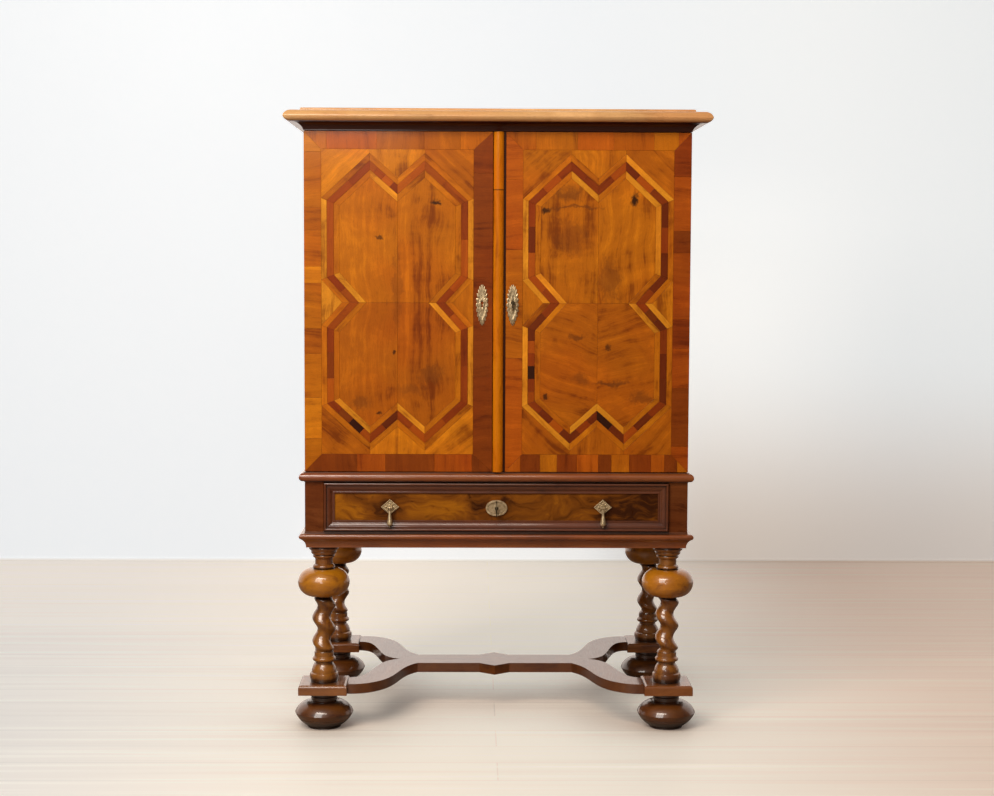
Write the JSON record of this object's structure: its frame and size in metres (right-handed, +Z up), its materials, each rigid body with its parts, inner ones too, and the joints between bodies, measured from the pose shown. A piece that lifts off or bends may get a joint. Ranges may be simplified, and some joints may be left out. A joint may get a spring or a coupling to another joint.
{
  "type": "cocktail cabinet",
  "caption": "Baroque-style cocktail cabinet: marquetry doors above a long drawer, on a stand with twist-turned legs, a flat scrolled stretcher and bun feet.",
  "frame": {"origin": "on the floor under the middle of the cabinet's overall box", "axes": "+Z up; the doors face -Y; +X to the right when facing the doors"},
  "size_m": [1.054, 0.672, 1.561],
  "materials": {
    "walnut_turned": "polished walnut, stained",
    "amber_turned": "polished amber fruitwood",
    "moulding_mahogany": "polished mahogany",
    "cornice_walnut": "polished figured walnut",
    "carcass_oak": "oiled oak",
    "case_veneer": "polished veneer over softwood",
    "amber_veneer": "polished book-matched amber veneer",
    "crossband_veneer": "polished crossband veneer",
    "dark_veneer": "polished mahogany veneer",
    "strip_veneer": "polished fruitwood",
    "burr_veneer": "polished burr walnut",
    "brass": "aged brass",
    "iron": "dark iron",
    "steel": "aged steel"
  },
  "bodies": {
    "cabinet": {"bun_foot_front_left": "walnut_turned", "twist_leg_front_left": "walnut_turned", "bun_foot_front_right": "walnut_turned", "twist_leg_front_right": "walnut_turned", "bun_foot_back_left": "walnut_turned", "twist_leg_back_left": "walnut_turned", "bun_foot_back_right": "walnut_turned", "twist_leg_back_right": "walnut_turned", "leg_balls": "amber_turned", "leg_caps": "walnut_turned", "plinth_blocks": "moulding_mahogany", "stretcher_arms": "walnut_turned", "stretcher_bar": "walnut_turned", "corner_blocks": "carcass_oak", "stand_board": "carcass_oak", "base_moulding": "moulding_mahogany", "frieze_frame": "case_veneer", "drawer_runners": "carcass_oak", "waist_moulding": "moulding_mahogany", "case_left_side": "case_veneer", "case_right_side": "case_veneer", "case_bottom": "carcass_oak", "case_top": "carcass_oak", "back_boards": "carcass_oak", "shelves": "carcass_oak", "shelf_pegs": "carcass_oak", "top_panel": "cornice_walnut", "cornice": "cornice_walnut", "case_hinge_leaves": "brass"},
    "left_door": {"left_door": "carcass_oak", "left_door_crossbanding": "crossband_veneer", "left_door_dark_band": "dark_veneer", "left_door_light_veneer": "amber_veneer", "left_door_escutcheon": "brass", "left_door_hinge_leaves": "brass", "left_door_keeper": "iron", "left_door_bolt_guide": "iron"},
    "right_door": {"right_door": "carcass_oak", "right_door_crossbanding": "crossband_veneer", "right_door_dark_band": "dark_veneer", "right_door_light_veneer": "amber_veneer", "closing_strip": "strip_veneer", "right_door_escutcheon": "brass", "right_door_hinge_leaves": "brass", "door_lock": "iron"},
    "drawer": {"drawer_front": "burr_veneer", "drawer_moulding": "moulding_mahogany", "drawer_box": "carcass_oak", "drawer_bottom": "carcass_oak", "drawer_escutcheon": "brass", "drawer_lock": "iron", "pull_plates": "brass"},
    "left_door_bolt": {"left_door_bolt": "steel"},
    "door_lock_bolt": {"door_lock_bolt": "steel"},
    "door_key": {"door_key": "steel"},
    "drawer_lock_bolt": {"drawer_lock_bolt": "steel"},
    "drawer_key": {"drawer_key": "steel"},
    "left_pull_drop": {"left_pull_drop": "brass"},
    "right_pull_drop": {"right_pull_drop": "brass"}
  },
  "joints": [
    {"name": "left_door_swing", "type": "hinge", "parent": "cabinet", "child": "left_door", "pos_m": [-0.473, -0.27825, 1.082], "axis": [0, 0, -1], "range_deg": [0, 170]},
    {"name": "right_door_swing", "type": "hinge", "parent": "cabinet", "child": "right_door", "pos_m": [0.473, -0.27825, 1.082], "axis": [0, 0, 1], "range_deg": [0, 170]},
    {"name": "drawer_slide", "type": "slide", "parent": "cabinet", "child": "drawer", "axis": [0, -1, 0], "range_m": [0, 0.36]},
    {"name": "door_key_turn", "type": "hinge", "parent": "right_door", "child": "door_key", "pos_m": [0.038, -0.29, 1.083], "axis": [0, 1, 0], "range_deg": [0, 180]},
    {"name": "door_bolt_slide", "type": "slide", "parent": "right_door", "child": "door_lock_bolt", "axis": [-1, 0, 0], "range_m": [0, 0.014]},
    {"name": "left_door_bolt_slide", "type": "slide", "parent": "left_door", "child": "left_door_bolt", "axis": [0, 0, 1], "range_m": [0, 0.012]},
    {"name": "drawer_key_turn", "type": "hinge", "parent": "drawer", "child": "drawer_key", "pos_m": [0, -0.288, 0.568], "axis": [0, 1, 0], "range_deg": [0, 180]},
    {"name": "drawer_bolt_slide", "type": "slide", "parent": "drawer", "child": "drawer_lock_bolt", "axis": [0, 0, 1], "range_m": [0, 0.008]},
    {"name": "left_pull_swing", "type": "hinge", "parent": "drawer", "child": "left_pull_drop", "pos_m": [-0.267, -0.302, 0.57], "axis": [-1, 0, 0], "range_deg": [0, 85]},
    {"name": "right_pull_swing", "type": "hinge", "parent": "drawer", "child": "right_pull_drop", "pos_m": [0.267, -0.302, 0.57], "axis": [-1, 0, 0], "range_deg": [0, 85]}
  ],
  "couplings": [
    {"joint": "door_key_turn", "follows": "door_bolt_slide", "rad_per_m": 224.39},
    {"joint": "drawer_key_turn", "follows": "drawer_bolt_slide", "rad_per_m": 392.69}
  ]
}
